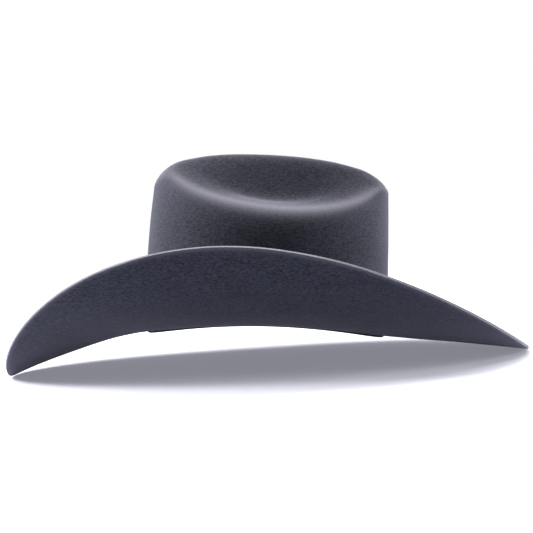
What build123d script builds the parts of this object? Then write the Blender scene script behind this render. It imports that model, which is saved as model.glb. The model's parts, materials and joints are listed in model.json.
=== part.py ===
from build123d import *
import os
from math import atan, cos, hypot, pi, radians, sin, sqrt

os.makedirs("parts", exist_ok=True)

# A western felt hat: a creased crown and a brim turned up at both sides, in one piece of felt.
# Lengths are millimetres and angles are degrees.
# Hat coordinates have X to the front, Y to the wearer's left and Z up from the head opening.

# ---- felt ----
felt_thickness = 2.3
break_half_length = 105.0       # the oval line where the crown turns into the brim
break_half_width = 86.0
break_saddle = 6.0              # that line dips this much at front and back and rises at the sides
brim_width = 108.0
side_lift = 68.0                # how far the brim turns up at the side
side_lift_power = 2.8           # how soon that turn fades towards front and back
side_lift_forward = -0.32       # less turn at the front than at the back
front_dip = 5.0
back_dip = 26.5
dip_power = 5.0
dip_at_break = 0.6              # share of the dip that is there from the break on

# ---- crown ----
crown_half_length = 100.0       # at the foot of the crown
crown_half_width = 81.5
crown_set_back = 0.5
length_taper = 2.9              # loss of half length over the first 100 mm of height
width_taper = 6.0
forward_lean = 2.0
foot_height = 6.0               # where the wall ends and the turn into the brim starts
crest_height = 137.0            # the two ridges beside the centre crease
crest_slope = 3.0
crest_arch = 8.4
crest_end_drop = 11.5
lip_height = 96.0               # the lip below each side dent, at its lowest point
lip_rise = 26.7
lip_low_point = 0.14
ridge_place = 0.34              # shares of the way from the centre line to the wall
lip_place = 0.73
dent_power = 0.89               # below 1 the dent is steepest near the ridge
crease_depth = 27.0
crease_reach = 0.95
end_drop_back = 14.0            # rounding of the top edge: its height, and where it starts
end_drop_front = 9.0
side_drop = 22.0
end_flat = 0.78
side_flat = 0.725

# ---- hat band and its buckle set, on the wearer's left ----
band_width = 16.0
band_thickness = 1.6
band_gap = 0.9                  # between the band and the crown
band_low = 8.0                  # lower edge above the break
tongue_lift = 1.5               # the strap's free end lies this far off the band
tongue_trim = 0.5               # and is this much narrower at each edge
buckle_at = 82.0                # places on the oval, in degrees from the front
keeper_at = 93.0
tip_at = 112.0
buckle_length = 21.0
buckle_width = 23.0
buckle_corner = 4.0
window_corner = 2.0
metal = 1.2
prong_diameter = 1.6
prong_play = 0.3                # around the prong, in its hole
prong_overhang = 0.5
fold_at = 75.0                  # where the strap turns back on itself
fold_turn = 1.5
buckle_rail = 2.8
bar_width = 3.0
bar_thickness = 1.0
keeper_length = 6.0
keeper_back = 0.3               # from the crown to the keeper's rear side
keeper_play = 0.5
keeper_clear = 0.4
tip_length = 13.0
tip_wall = 0.8
tack_height = 2.5               # above the band's lower edge
tack_angles = (0, 180, 235, 305)

# ---- inside, measured inwards from the crown's outer wall ----
clearance = 0.1
leather_inset = 3.2
leather_thickness = 1.2
leather_low = -0.5
leather_high = 46.0
seam_gap = 0.5                  # between the two ends of the leather, at the back
tape_inset = 2.45
tape_thickness = 0.5
tape_high = 8.0
reed_diameter = 1.6
sleeve_wall = 0.5
sleeve_play = 0.05
sleeve_half_angle = 8.0
tape_gap_angle = 9.0            # the tape leaves the sleeve bare at the back
liner_inset = 2.6
cloth_thickness = 0.4
liner_low = 30.0
liner_high = 73.0
piping_size = 1.8
shield_half_length = 62.0
shield_half_width = 44.0
shield_thickness = 0.3
shield_gap = 0.2                # below the liner's top
shield_stitch_inset = 2.5
stitch_length = 3.2
stitch_thickness = 0.5
stitch_height = 3.0
stitch_count = 96
seam_stitch_count = 14
seam_stitch_lean = 25.0
seam_above_bow = 8.0
seam_below_edge = 2.0
shield_stitch_count = 60
ribbon_width = 5.0
ribbon_thickness = 0.35
bow_loop_length = 11.0
bow_loop_depth = 3.6
bow_height = 9.0
bow_stand_off = 1.2
knot_size = 2.4
knot_proud = 0.4                # past the ribbon's edges
knot_corner = 0.8
tag_low = 22.0
tag_high = 37.0
tag_thickness = 0.25
tag_start = 155.0
tag_end = 163.0

stations = 72                   # points around each ring of the skin


def head_oval(t, half_length=break_half_length, half_width=break_half_width):
    """A point of the break oval, and the outward direction there."""
    across, along = cos(t) / half_length, sin(t) / half_width
    size = hypot(across, along)
    return half_length * cos(t), half_width * sin(t), across / size, along / size


def wall_at(t, height):
    """The crown's outer wall at one height: an ellipse that narrows and leans forward."""
    growth = (height / 100) ** 2
    x = forward_lean * growth - crown_set_back + (crown_half_length - length_taper * growth) * cos(t)
    return x, (crown_half_width - width_taper * growth) * sin(t)


def ease(part):
    """A smooth step from 0 to 1."""
    return 0.5 - 0.5 * cos(pi * min(max(part, 0.0), 1.0))


def top_height(u, w):
    """Height of the creased top, with u forward and w sideways as shares of the half sizes."""
    across = abs(w) / sqrt(max(1 - u * u, 0.0) + 0.02)
    crest = crest_height - crest_slope * u - crest_arch * u**2 - crest_end_drop * u**4
    lip = lip_height + lip_rise * (u - lip_low_point) ** 2
    outer = min(max((across - ridge_place) / (lip_place - ridge_place), 0.0), 1.0)
    dent = max(crest - lip, 0.0) * ease(outer**dent_power)
    fade = max(1 - ((u + 0.05) / crease_reach) ** 4, 0.0)
    crease = crease_depth * fade * ease(1 - across / ridge_place)
    return crest - dent - crease


def top_edge(t):
    """Height of the rounding at the top of the wall, and where it starts."""
    end = cos(t) ** 4
    end_drop = end_drop_back if cos(t) < 0 else end_drop_front
    return side_drop + (end_drop - side_drop) * end, side_flat + (end_flat - side_flat) * end


def brim_angles(t):
    """The brim's slope where it leaves the break, and its slope at the outer edge."""
    _, _, nx, ny = head_oval(t)
    dip = front_dip * nx**dip_power if nx > 0 else back_dip * (-nx) ** dip_power
    lift = side_lift * abs(ny) ** side_lift_power * (1 + side_lift_forward * nx)
    return radians(-dip_at_break * dip), radians(lift - dip)


def skin(s, t):
    """The felt's outer face: s runs 0-1 top, 1-2 top edge, 2-3 wall, 3-4 turn, 4-5 brim."""
    drop, flat = top_edge(t)
    wall_top = top_height(cos(t), sin(t)) - drop
    foot = foot_height - break_saddle * cos(2 * t)
    if s <= 2:
        turn = pi / 2 * max(s - 1, 0.0)
        share = s * flat if s < 1 else flat + (1 - flat) * sin(turn)
        x, y = wall_at(t, wall_top)
        height = top_height(share * cos(t), share * sin(t)) - drop * (1 - cos(turn))
        return Vector(x * share, y * share, height)
    if s <= 3:
        height = wall_top + (foot - wall_top) * (s - 2)
        return Vector(*wall_at(t, height), height)
    bx, by, nx, ny = head_oval(t)
    fx, fy = wall_at(t, foot)
    start, end = brim_angles(t)
    slope = start if s > 4 else (start + pi / 2) * (s - 3) - pi / 2
    x = fx + (bx - fx) * (1 + sin(slope))
    y = fy + (by - fy) * (1 + sin(slope))
    height = foot - foot_height * cos(slope)
    if s > 4:
        run = (brim_width - sin(start) * hypot(bx - fx, by - fy)) * (s - 4)
        half_turn = (end - start) * (s - 4) / 2
        chord = run * sin(half_turn) / half_turn if abs(half_turn) > 1e-9 else run
        x += nx * chord * cos(start + half_turn)
        y += ny * chord * cos(start + half_turn)
        height += chord * sin(start + half_turn)
    return Vector(x, y, height)


def skin_normal(s, t):
    """The direction out of the felt's outer face."""
    step = 1e-3
    if s < step:
        return Vector(0, 0, 1)
    along = skin(s, t) - skin(s - step, t)
    around = skin(s, t + step) - skin(s, t - step)
    return around.cross(along).normalized() * -1


# ---- standing pose: the hat rests on the front and back edges of its brim ----
def underside(s, t):
    """The felt's inner face, one thickness below the outer one."""
    return skin(s, t) - skin_normal(s, t) * felt_thickness


front_low, back_low = underside(5, 0), underside(5, pi)
tilt = atan((front_low.Z - back_low.Z) / (front_low.X - back_low.X))
leaning = Plane((0, 0, 0), x_dir=(cos(tilt), 0, -sin(tilt)), z_dir=(sin(tilt), 0, cos(tilt)))
front_edge = leaning.from_local_coords(skin(5, 0))
back_edge = leaning.from_local_coords(skin(5, pi))
floor_drop = leaning.from_local_coords(front_low).Z
hat = Plane(
    (-(front_edge.X + back_edge.X) / 2, 0, -floor_drop),
    x_dir=leaning.x_dir,
    z_dir=leaning.z_dir,
)


# ---- helpers ----
def ring_wire(points):
    """A smooth closed wire through evenly numbered points."""
    count = len(points)
    knots = [i / count for i in range(count + 1)]
    placed = [hat.from_local_coords(point) for point in points]
    return Wire([Edge.make_spline(placed, periodic=True, parameters=knots)])


def wall_oval(height, inset):
    """A sketch of the crown's wall at one height, moved inwards."""
    growth = (height / 100) ** 2
    with BuildSketch(hat.offset(height)) as oval:
        with Locations((forward_lean * growth - crown_set_back, 0)):
            Ellipse(
                crown_half_length - length_taper * growth - inset,
                crown_half_width - width_taper * growth - inset,
            )
    return oval.sketch


def saddle_slab(inset, low, high):
    """A block between two copies of the break's saddle shape, to which the bands are cut."""
    reach = 130.0
    length, width = crown_half_length - inset, crown_half_width - inset
    bend = (1, -1, 1)
    net = [
        [
            hat.from_local_coords(
                Vector(
                    i * reach - crown_set_back,
                    j * reach,
                    low - break_saddle * reach**2 * (bend[i + 1] / length**2 - bend[j + 1] / width**2),
                )
            )
            for j in (-1, 0, 1)
        ]
        for i in (-1, 0, 1)
    ]
    return Solid.extrude(Face.make_bezier_surface(net), hat.z_dir * (high - low))


def wall_band(inset, thickness, low, high):
    """A strip that stands against the crown's wall and follows the saddle of the break."""
    heights = [low - 2 * break_saddle, (low + high) / 2, high + 2 * break_saddle]
    with BuildPart() as band:
        loft([wall_oval(height, inset) for height in heights])
        loft([wall_oval(height, inset + thickness) for height in heights], mode=Mode.SUBTRACT)
        add(saddle_slab(inset + thickness / 2, low, high), mode=Mode.INTERSECT)
    return band.part


def sector(start, end):
    """A wedge of the whole hat between two angles from the front, in degrees."""
    far = 200.0
    with BuildPart() as wedge:
        with BuildSketch(hat.offset(-60)):
            with BuildLine():
                Polyline(
                    (0, 0),
                    (far * cos(radians(start)), far * sin(radians(start))),
                    (far * cos(radians(end)), far * sin(radians(end))),
                    close=True,
                )
            make_face()
        extrude(amount=220)
    return wedge.part


def inside_path(start, end, inset, height, count):
    """A smooth line inside the crown's foot that follows the saddle of the break."""
    points = []
    for i in range(count + 1):
        t = radians(start + (end - start) * i / count)
        level = height - break_saddle * cos(2 * t)
        x, y = wall_at(t, level)
        _, _, nx, ny = head_oval(t, crown_half_length, crown_half_width)
        points.append(hat.from_local_coords(Vector(x - nx * inset, y - ny * inset, level)))
    return Edge.make_spline(points)


def wall_frame(angle, height, inset):
    """A plane that lies on the crown's wall and faces out: X along the wall to the back, Y up."""
    t = radians(angle)
    level = height - break_saddle * cos(2 * t)
    growth = (level / 100) ** 2
    length = crown_half_length - length_taper * growth
    width = crown_half_width - width_taper * growth
    size = hypot(cos(t) / length, sin(t) / width)
    nx, ny = cos(t) / length / size, sin(t) / width / size
    taper = length_taper * cos(t) ** 2 + width_taper * sin(t) ** 2 - forward_lean * cos(t)
    rise = 2 * level / 100**2 * taper
    x, y = wall_at(t, level)
    place = hat.from_local_coords(Vector(x - inset * nx, y - inset * ny, level))
    outward = hat.x_dir * nx + hat.y_dir * ny + hat.z_dir * rise
    return Plane(place, x_dir=hat.y_dir * nx - hat.x_dir * ny, z_dir=outward)


# ---- sub-parts ----
# The felt is one piece: the outer skin, the inner skin and the cut edge between them.
top_steps = [0.06, 0.14, 0.22, 0.3, 0.38, 0.46, 0.54, 0.62, 0.7, 0.78, 0.86, 0.93, 1.0]
edge_steps = [1.15, 1.3, 1.45, 1.6, 1.75, 1.9, 2.0]
wall_steps = [2.12, 2.25, 2.4, 2.55, 2.7, 2.85, 2.94, 3.0]
turn_steps = [3.17, 3.33, 3.5, 3.67, 3.83, 4.0]
brim_steps = [4.04, 4.12, 4.25, 4.4, 4.55, 4.7, 4.85, 4.95, 5.0]
steps = top_steps + edge_steps + wall_steps + turn_steps + brim_steps
angles = [2 * pi * i / stations for i in range(stations)]
outer_rings = [ring_wire([skin(s, t) for t in angles]) for s in steps]
inner_rings = [ring_wire([underside(s, t) for t in angles]) for s in steps]
outer_pole = Vertex(*hat.from_local_coords(skin(0, 0)))
inner_pole = Vertex(*hat.from_local_coords(underside(0, 0)))
outer_skin = Shell.make_loft([outer_pole] + outer_rings)
inner_skin = Shell.make_loft([inner_pole] + inner_rings)
cut_edge = Shell.make_loft([outer_rings[-1], inner_rings[-1]], ruled=True)
felt_faces = outer_skin.faces() + inner_skin.faces() + cut_edge.faces()

with BuildPart() as felt_body:
    add(Solid(Shell(Face.sew_faces(felt_faces)[0])))
felt_body.part.label = "felt_body"
export_step(felt_body.part, "parts/felt_body.step")

# The band is one felt strap around the crown; its free end lies over it, through the buckle.
band_outset = band_gap + band_thickness
tongue_outset = band_outset + tongue_lift + band_thickness
band_middle = band_low + band_width / 2
strap = wall_band(-band_outset, band_thickness, band_low, band_low + band_width)
tongue_low = band_low + tongue_trim
tongue_high = band_low + band_width - tongue_trim
strap_end = wall_band(-tongue_outset, band_thickness, tongue_low, tongue_high)
strap_fold = wall_band(-tongue_outset, tongue_outset - band_gap, tongue_low, tongue_high)
buckle_frame_plane = wall_frame(buckle_at, band_middle, 0)

with BuildPart() as hatband:
    add(strap)
    add(strap_end & sector(fold_at, tip_at))
    add(strap_fold & sector(fold_at, fold_at + fold_turn))
    with Locations(buckle_frame_plane.offset(tongue_outset)):
        Cylinder(prong_diameter / 2 + prong_play, 3 * band_thickness, mode=Mode.SUBTRACT)
hatband.part.label = "hatband"
export_step(hatband.part, "parts/hatband.step")

# The buckle's rails lie over the strap end, and its bar passes under it.
rail_outset = tongue_outset + 4 * clearance
bar_outset = band_outset + 2 * clearance
post_centre = (buckle_width - buckle_rail) / 2
with BuildPart() as band_buckle:
    with BuildSketch(buckle_frame_plane.offset(rail_outset)):
        RectangleRounded(buckle_length, buckle_width, buckle_corner)
        RectangleRounded(
            buckle_length - 2 * buckle_rail,
            buckle_width - 2 * buckle_rail,
            window_corner,
            mode=Mode.SUBTRACT,
        )
    extrude(amount=metal)
    with BuildSketch(buckle_frame_plane.offset(bar_outset)):
        with Locations((0, post_centre), (0, -post_centre)):
            Rectangle(bar_width, buckle_rail)
    extrude(amount=rail_outset - bar_outset + metal)
    with BuildSketch(buckle_frame_plane.offset(bar_outset)):
        Rectangle(bar_width, buckle_width - buckle_rail)
    extrude(amount=bar_thickness)
band_buckle.part.label = "band_buckle"
export_step(band_buckle.part, "parts/band_buckle.step")

# The prong stands on the bar, passes through the strap end and lies across the frame.
prong_foot = bar_outset + bar_thickness
prong_rise = rail_outset + metal + prong_diameter / 2
prong_reach = buckle_length / 2 + prong_overhang
with BuildPart() as buckle_prong:
    with BuildSketch(buckle_frame_plane.offset(prong_foot)):
        Circle(prong_diameter / 2)
    extrude(amount=prong_rise - prong_foot)
    with BuildSketch(Plane(buckle_frame_plane.offset(prong_rise).origin, z_dir=buckle_frame_plane.x_dir)):
        Circle(prong_diameter / 2)
    extrude(amount=prong_reach)
    with Locations(buckle_frame_plane.offset(prong_rise)):
        Sphere(prong_diameter / 2)
buckle_prong.part.label = "buckle_prong"
export_step(buckle_prong.part, "parts/buckle_prong.step")

# The keeper is a metal loop around both layers of the strap.
keeper_plane = wall_frame(keeper_at, band_middle, 0)
keeper_room = band_width + 2 * keeper_play
keeper_depth = tongue_outset + keeper_clear
with BuildPart() as band_keeper:
    with BuildSketch(keeper_plane.offset(keeper_back)):
        Rectangle(keeper_length, keeper_room + 2 * metal)
    extrude(amount=keeper_depth + metal - keeper_back)
    fillet(band_keeper.edges().filter_by(Axis(keeper_plane.origin, keeper_plane.x_dir)), metal / 2)
    with BuildSketch(keeper_plane.offset(2 * keeper_back)):
        Rectangle(2 * keeper_length, keeper_room)
    extrude(amount=keeper_depth - 2 * keeper_back, mode=Mode.SUBTRACT)
band_keeper.part.label = "band_keeper"
export_step(band_keeper.part, "parts/band_keeper.step")

# The strap end is capped by a pointed metal tip.
tip_plane = wall_frame(tip_at, band_middle, 0)
strap_room = wall_band(
    -tongue_outset - clearance,
    band_thickness + 2 * clearance,
    tongue_low - clearance,
    tongue_high + clearance,
)
with BuildPart() as band_tip:
    with BuildSketch(tip_plane.offset(tongue_outset - band_thickness - tip_wall)):
        with BuildLine():
            Polyline(
                (-tip_length / 2, band_width / 2),
                (tip_length / 6, band_width / 2),
                (tip_length / 2, 0),
                (tip_length / 6, -band_width / 2),
                (-tip_length / 2, -band_width / 2),
                close=True,
            )
        make_face()
    extrude(amount=band_thickness + 2 * tip_wall)
    add(strap_room & sector(keeper_at, tip_at + 0.3), mode=Mode.SUBTRACT)
band_tip.part.label = "band_tip"
export_step(band_tip.part, "parts/band_tip.step")

# Thread tacks hold the band to the crown.
with BuildPart() as band_tacks:
    for angle in tack_angles:
        with Locations(wall_frame(angle, band_low + tack_height, -band_outset - stitch_thickness / 2)):
            Cylinder(stitch_thickness / 2, stitch_length, rotation=(90, 0, 0))
band_tacks.part.label = "band_tacks"
export_step(band_tacks.part, "parts/band_tacks.step")

# The leather strip's two ends meet at the back.
leather = wall_band(leather_inset, leather_thickness, leather_low, leather_high)
with BuildPart() as sweatband:
    add(leather)
    with Locations(wall_frame(180, leather_high / 2, leather_inset)):
        Box(seam_gap, 3 * leather_high, 10, mode=Mode.SUBTRACT)
sweatband.part.label = "sweatband"
export_step(sweatband.part, "parts/sweatband.step")

# The reed is a springy plastic rod below the leather, and a sleeve joins its two ends.
reed_inset = leather_inset + leather_thickness / 2
sleeve_radius = reed_diameter / 2 + sleeve_play + sleeve_wall
reed_height = leather_low - clearance - sleeve_radius
reed_path = inside_path(-179.4, 179.4, reed_inset, reed_height, 48)
with BuildPart() as sweatband_reed:
    with BuildSketch(Plane(reed_path @ 0, z_dir=reed_path % 0)):
        Circle(reed_diameter / 2)
    sweep(path=reed_path)
sweatband_reed.part.label = "sweatband_reed"
export_step(sweatband_reed.part, "parts/sweatband_reed.step")

sleeve_path = inside_path(180 - sleeve_half_angle, 180 + sleeve_half_angle, reed_inset, reed_height, 6)
with BuildPart() as reed_sleeve:
    with BuildSketch(Plane(sleeve_path @ 0, z_dir=sleeve_path % 0)):
        Circle(sleeve_radius)
        Circle(reed_diameter / 2 + sleeve_play, mode=Mode.SUBTRACT)
    sweep(path=sleeve_path)
reed_sleeve.part.label = "reed_sleeve"
export_step(reed_sleeve.part, "parts/reed_sleeve.step")

# The tape is folded around the reed: a tall outer side behind the leather, a floor and a low inner side.
tape_low = reed_height - reed_diameter / 2 - 2 * clearance - tape_thickness
tape_inner_inset = reed_inset + reed_diameter / 2 + clearance
tape_outer = wall_band(tape_inset, tape_thickness, tape_low, tape_high)
tape_floor = wall_band(
    tape_inset, tape_inner_inset + tape_thickness - tape_inset, tape_low, tape_low + tape_thickness
)
tape_inner = wall_band(tape_inner_inset, tape_thickness, tape_low, leather_low - 2 * clearance)
with BuildPart() as reed_tape:
    add(tape_outer)
    add(tape_floor)
    add(tape_inner)
    add(sector(180 - tape_gap_angle, 180 + tape_gap_angle), mode=Mode.SUBTRACT)
reed_tape.part.label = "reed_tape"
export_step(reed_tape.part, "parts/reed_tape.step")

# Stitches lie on the leather's inner face, which is the side towards the head.
face_inset = leather_inset + leather_thickness + clearance + stitch_thickness / 2
with BuildPart() as sweatband_stitches:
    for i in range(stitch_count):
        if abs(i - stitch_count / 2) > 2:
            with Locations(wall_frame(360 * i / stitch_count, stitch_height, face_inset)):
                Cylinder(stitch_thickness / 2, stitch_length, rotation=(0, 90, 0))
sweatband_stitches.part.label = "sweatband_stitches"
export_step(sweatband_stitches.part, "parts/sweatband_stitches.step")

seam_low = bow_height + seam_above_bow
seam_high = leather_high - seam_below_edge
with BuildPart() as seam_stitches:
    for i in range(seam_stitch_count):
        height = seam_low + (seam_high - seam_low) * i / (seam_stitch_count - 1)
        lean = seam_stitch_lean if i % 2 else -seam_stitch_lean
        with Locations(wall_frame(180, height, face_inset)):
            Cylinder(stitch_thickness / 2, stitch_length, rotation=(0, 90, lean))
seam_stitches.part.label = "seam_stitches"
export_step(seam_stitches.part, "parts/seam_stitches.step")

# A small ribbon bow marks the back, inside: two loops and a knot between them.
bow_plane = wall_frame(180, bow_height, leather_inset + leather_thickness)
bow_floor = Plane(bow_plane.origin, x_dir=bow_plane.x_dir, z_dir=bow_plane.y_dir)
loop_centre = knot_size / 2 + bow_loop_length / 2
loop_out = bow_loop_depth / 2 + bow_stand_off
with BuildPart() as bow_ribbon:
    with BuildSketch(bow_floor.offset(-ribbon_width / 2)):
        with Locations((loop_centre, loop_out), (-loop_centre, loop_out)):
            Ellipse(bow_loop_length / 2, bow_loop_depth / 2)
            Ellipse(
                bow_loop_length / 2 - ribbon_thickness,
                bow_loop_depth / 2 - ribbon_thickness,
                mode=Mode.SUBTRACT,
            )
    extrude(amount=ribbon_width)
bow_ribbon.part.label = "bow_ribbon"
export_step(bow_ribbon.part, "parts/bow_ribbon.step")

with BuildPart() as bow_knot:
    with BuildSketch(bow_floor.offset(-ribbon_width / 2 - knot_proud)):
        with Locations((0, loop_out)):
            RectangleRounded(knot_size, 1.25 * knot_size, knot_corner)
    extrude(amount=ribbon_width + 2 * knot_proud)
bow_knot.part.label = "bow_knot"
export_step(bow_knot.part, "parts/bow_knot.step")

# The liner: a side band, an oval top, piping along their seam and a clear shield under the top.
liner_heights = [liner_low, (liner_low + liner_high) / 2, liner_high]
with BuildPart() as liner_side:
    loft([wall_oval(height, liner_inset) for height in liner_heights])
    loft([wall_oval(height, liner_inset + cloth_thickness) for height in liner_heights], mode=Mode.SUBTRACT)
liner_side.part.label = "liner_side"
export_step(liner_side.part, "parts/liner_side.step")

with BuildPart() as liner_tip:
    extrude(wall_oval(liner_high, liner_inset), amount=cloth_thickness)
liner_tip.part.label = "liner_tip"
export_step(liner_tip.part, "parts/liner_tip.step")

piping_inset = liner_inset + cloth_thickness + 4 * clearance
piping_low = liner_high - clearance - piping_size
with BuildPart() as liner_piping:
    extrude(wall_oval(piping_low, piping_inset), amount=piping_size)
    extrude(wall_oval(piping_low, piping_inset + piping_size), amount=piping_size, mode=Mode.SUBTRACT)
    fillet(liner_piping.edges().filter_by(GeomType.ELLIPSE), piping_size / 3)
liner_piping.part.label = "liner_piping"
export_step(liner_piping.part, "parts/liner_piping.step")

shield_low = liner_high - shield_gap - shield_thickness
with BuildPart() as tip_shield:
    with BuildSketch(hat.offset(shield_low)):
        Ellipse(shield_half_length, shield_half_width)
    extrude(amount=shield_thickness)
tip_shield.part.label = "tip_shield"
export_step(tip_shield.part, "parts/tip_shield.step")

with BuildPart() as shield_stitches:
    for i in range(shield_stitch_count):
        t = 2 * pi * i / shield_stitch_count
        x, y, nx, ny = head_oval(
                t, shield_half_length - shield_stitch_inset, shield_half_width - shield_stitch_inset
            )
        place = hat.from_local_coords(Vector(x, y, shield_low - stitch_thickness / 2))
        along = hat.y_dir * nx - hat.x_dir * ny
        with Locations(Plane(place, x_dir=hat.z_dir, z_dir=along)):
            Cylinder(stitch_thickness / 2, stitch_length)
shield_stitches.part.label = "shield_stitches"
export_step(shield_stitches.part, "parts/shield_stitches.step")

# A blank size ticket is glued to the leather near the back.
ticket = wall_band(leather_inset + leather_thickness + clearance, tag_thickness, tag_low, tag_high)
with BuildPart() as size_tag:
    add(ticket & sector(tag_start, tag_end))
size_tag.part.label = "size_tag"
export_step(size_tag.part, "parts/size_tag.step")
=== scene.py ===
import bpy
import json
import math
from mathutils import Matrix, Vector, noise

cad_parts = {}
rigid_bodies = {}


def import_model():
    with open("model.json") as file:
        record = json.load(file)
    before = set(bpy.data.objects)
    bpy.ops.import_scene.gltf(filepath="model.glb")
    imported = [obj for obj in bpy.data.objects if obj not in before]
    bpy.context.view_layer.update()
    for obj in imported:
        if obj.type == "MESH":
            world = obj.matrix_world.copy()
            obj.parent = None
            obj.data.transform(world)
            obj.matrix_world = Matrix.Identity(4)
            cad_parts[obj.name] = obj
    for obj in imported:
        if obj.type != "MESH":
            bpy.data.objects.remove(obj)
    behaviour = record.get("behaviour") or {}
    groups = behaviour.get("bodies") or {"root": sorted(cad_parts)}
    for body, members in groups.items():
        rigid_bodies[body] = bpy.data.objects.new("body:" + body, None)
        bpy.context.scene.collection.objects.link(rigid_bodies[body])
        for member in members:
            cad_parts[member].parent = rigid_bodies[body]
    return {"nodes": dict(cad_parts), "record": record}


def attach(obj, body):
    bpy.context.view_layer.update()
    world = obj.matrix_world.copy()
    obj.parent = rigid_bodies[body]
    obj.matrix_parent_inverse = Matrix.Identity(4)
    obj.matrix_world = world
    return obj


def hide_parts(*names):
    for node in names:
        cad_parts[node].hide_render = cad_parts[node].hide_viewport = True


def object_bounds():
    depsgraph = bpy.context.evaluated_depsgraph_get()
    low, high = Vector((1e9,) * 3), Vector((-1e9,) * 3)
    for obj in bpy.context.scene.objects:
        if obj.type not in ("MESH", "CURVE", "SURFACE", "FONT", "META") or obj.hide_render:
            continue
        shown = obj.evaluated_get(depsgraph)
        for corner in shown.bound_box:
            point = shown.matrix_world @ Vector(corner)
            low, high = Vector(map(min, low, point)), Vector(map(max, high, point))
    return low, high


for item in list(bpy.data.objects):
    bpy.data.objects.remove(item, do_unlink=True)   # start from an empty scene
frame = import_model()
bpy.ops.object.select_all(action="DESELECT")
cadLow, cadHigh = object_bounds()
print("frame loaded,", len(frame["nodes"]), "nodes")

mm = 0.001
mergeDistance = 0.002 * mm
smoothAngle = math.radians(40)

# the hat's own axes: X to the front, Z up out of the head opening, which the record gives as a mount
opening = next(m for m in frame["record"]["mounts"] if m["name"] == "head_opening")
tilt = math.atan2(-opening["axis"][0], -opening["axis"][2])
hatToFrame = Matrix.Translation(opening["pos_m"]) @ Matrix.Rotation(tilt, 4, "Y")


def toLinear(hexColour):
    # sRGB hex to the linear values that the shader takes
    channels = [int(hexColour[i:i + 2], 16) / 255 for i in (1, 3, 5)]
    return tuple(c / 12.92 if c <= 0.04045 else ((c + 0.055) / 1.055) ** 2.4 for c in channels) + (1.0,)


def addNode(tree, kind, settings=None, values=None, links=None):
    # one node with its settings, its socket values and what feeds it
    node = tree.nodes.new(kind)
    for key, value in (settings or {}).items():
        setattr(node, key, value)
    for key, value in (values or {}).items():
        node.inputs[key].default_value = value
    for key, source in (links or {}).items():
        tree.links.new(source, node.inputs[key])
    return node


def newMaterial(name):
    # a material whose node tree is still empty
    material = bpy.data.materials.new(name)
    material.use_nodes = True
    material.node_tree.nodes.clear()
    return material, material.node_tree


def pickOnly(*pieces):
    # selects these objects and nothing else, and makes the first one active
    bpy.ops.object.select_all(action="DESELECT")
    for piece in pieces:
        piece.select_set(True)
    bpy.context.view_layer.objects.active = pieces[0]


def addModifier(piece, kind, **settings):
    # adds one modifier and applies it at once
    bpy.context.view_layer.objects.active = piece
    modifier = piece.modifiers.new(kind.lower(), kind)
    for key, value in settings.items():
        setattr(modifier, key, value)
    bpy.ops.object.modifier_apply(modifier=modifier.name)


def roundEdges(piece, width, segments, sharperThan, **settings):
    # a bevel, its width in mm, on every edge that is sharper than so many degrees
    addModifier(piece, "BEVEL", width=width * mm, segments=segments, limit_method="ANGLE",
                angle_limit=math.radians(sharperThan), **settings)


def copyOf(node, name):
    # a welded copy of a solid from the frame, ready to be shaped
    piece = bpy.data.objects.new(name, frame["nodes"][node].data.copy())
    bpy.context.collection.objects.link(piece)
    pickOnly(piece)
    piece.data.materials.clear()
    bpy.ops.mesh.customdata_custom_splitnormals_clear()
    bpy.ops.object.mode_set(mode="EDIT")
    bpy.ops.mesh.select_all(action="SELECT")
    bpy.ops.mesh.remove_doubles(threshold=mergeDistance)
    bpy.ops.object.mode_set(mode="OBJECT")
    return piece


def makeCloth(name, columns, rows, place, weld=False):
    # a grid bent to shape: place gives each corner in hat mm, from 0-1 round and 0-1 across
    bpy.ops.mesh.primitive_grid_add(x_subdivisions=columns, y_subdivisions=rows, size=1)
    piece = bpy.context.object
    piece.name = name
    for corner in piece.data.vertices:
        corner.co = hatToFrame @ (Vector(place(corner.co.x + 0.5, corner.co.y + 0.5)) * mm)
    if weld:
        bpy.ops.object.mode_set(mode="EDIT")
        bpy.ops.mesh.select_all(action="SELECT")
        bpy.ops.mesh.remove_doubles(threshold=mergeDistance)
        bpy.ops.mesh.normals_make_consistent(inside=False)
        bpy.ops.object.mode_set(mode="OBJECT")
    return piece


def finishPiece(piece, material, slot, *nodes):
    # its finish, its body and the solids that it stands for, which it hides; slot is not used
    pickOnly(piece)
    if not piece.data.materials:
        piece.data.materials.append(material)
    bpy.ops.object.shade_smooth_by_angle(angle=smoothAngle)
    piece.select_set(False)
    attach(piece, "root")
    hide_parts(*nodes)


def dress(node, material):
    # gives a solid that keeps its shape its finish
    for slot in frame["nodes"][node].material_slots:
        slot.material = material


view = {
    "place": (20.05, -947.54, 96.57),       # mm
    "turn": (88.9004, 3.28, 1.0735),        # degrees
    "lens": 77.388,                         # on a 36 mm sensor
    "farthest": 20.0,                       # metres
}
bpy.ops.object.camera_add(location=Vector(view["place"]) * mm,
                          rotation=[math.radians(angle) for angle in view["turn"]])
camera = bpy.context.object
camera.name = "camera"
camera.data.lens = view["lens"]
camera.data.clip_end = view["farthest"]
bpy.context.scene.camera = camera
print("camera placed")


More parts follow.
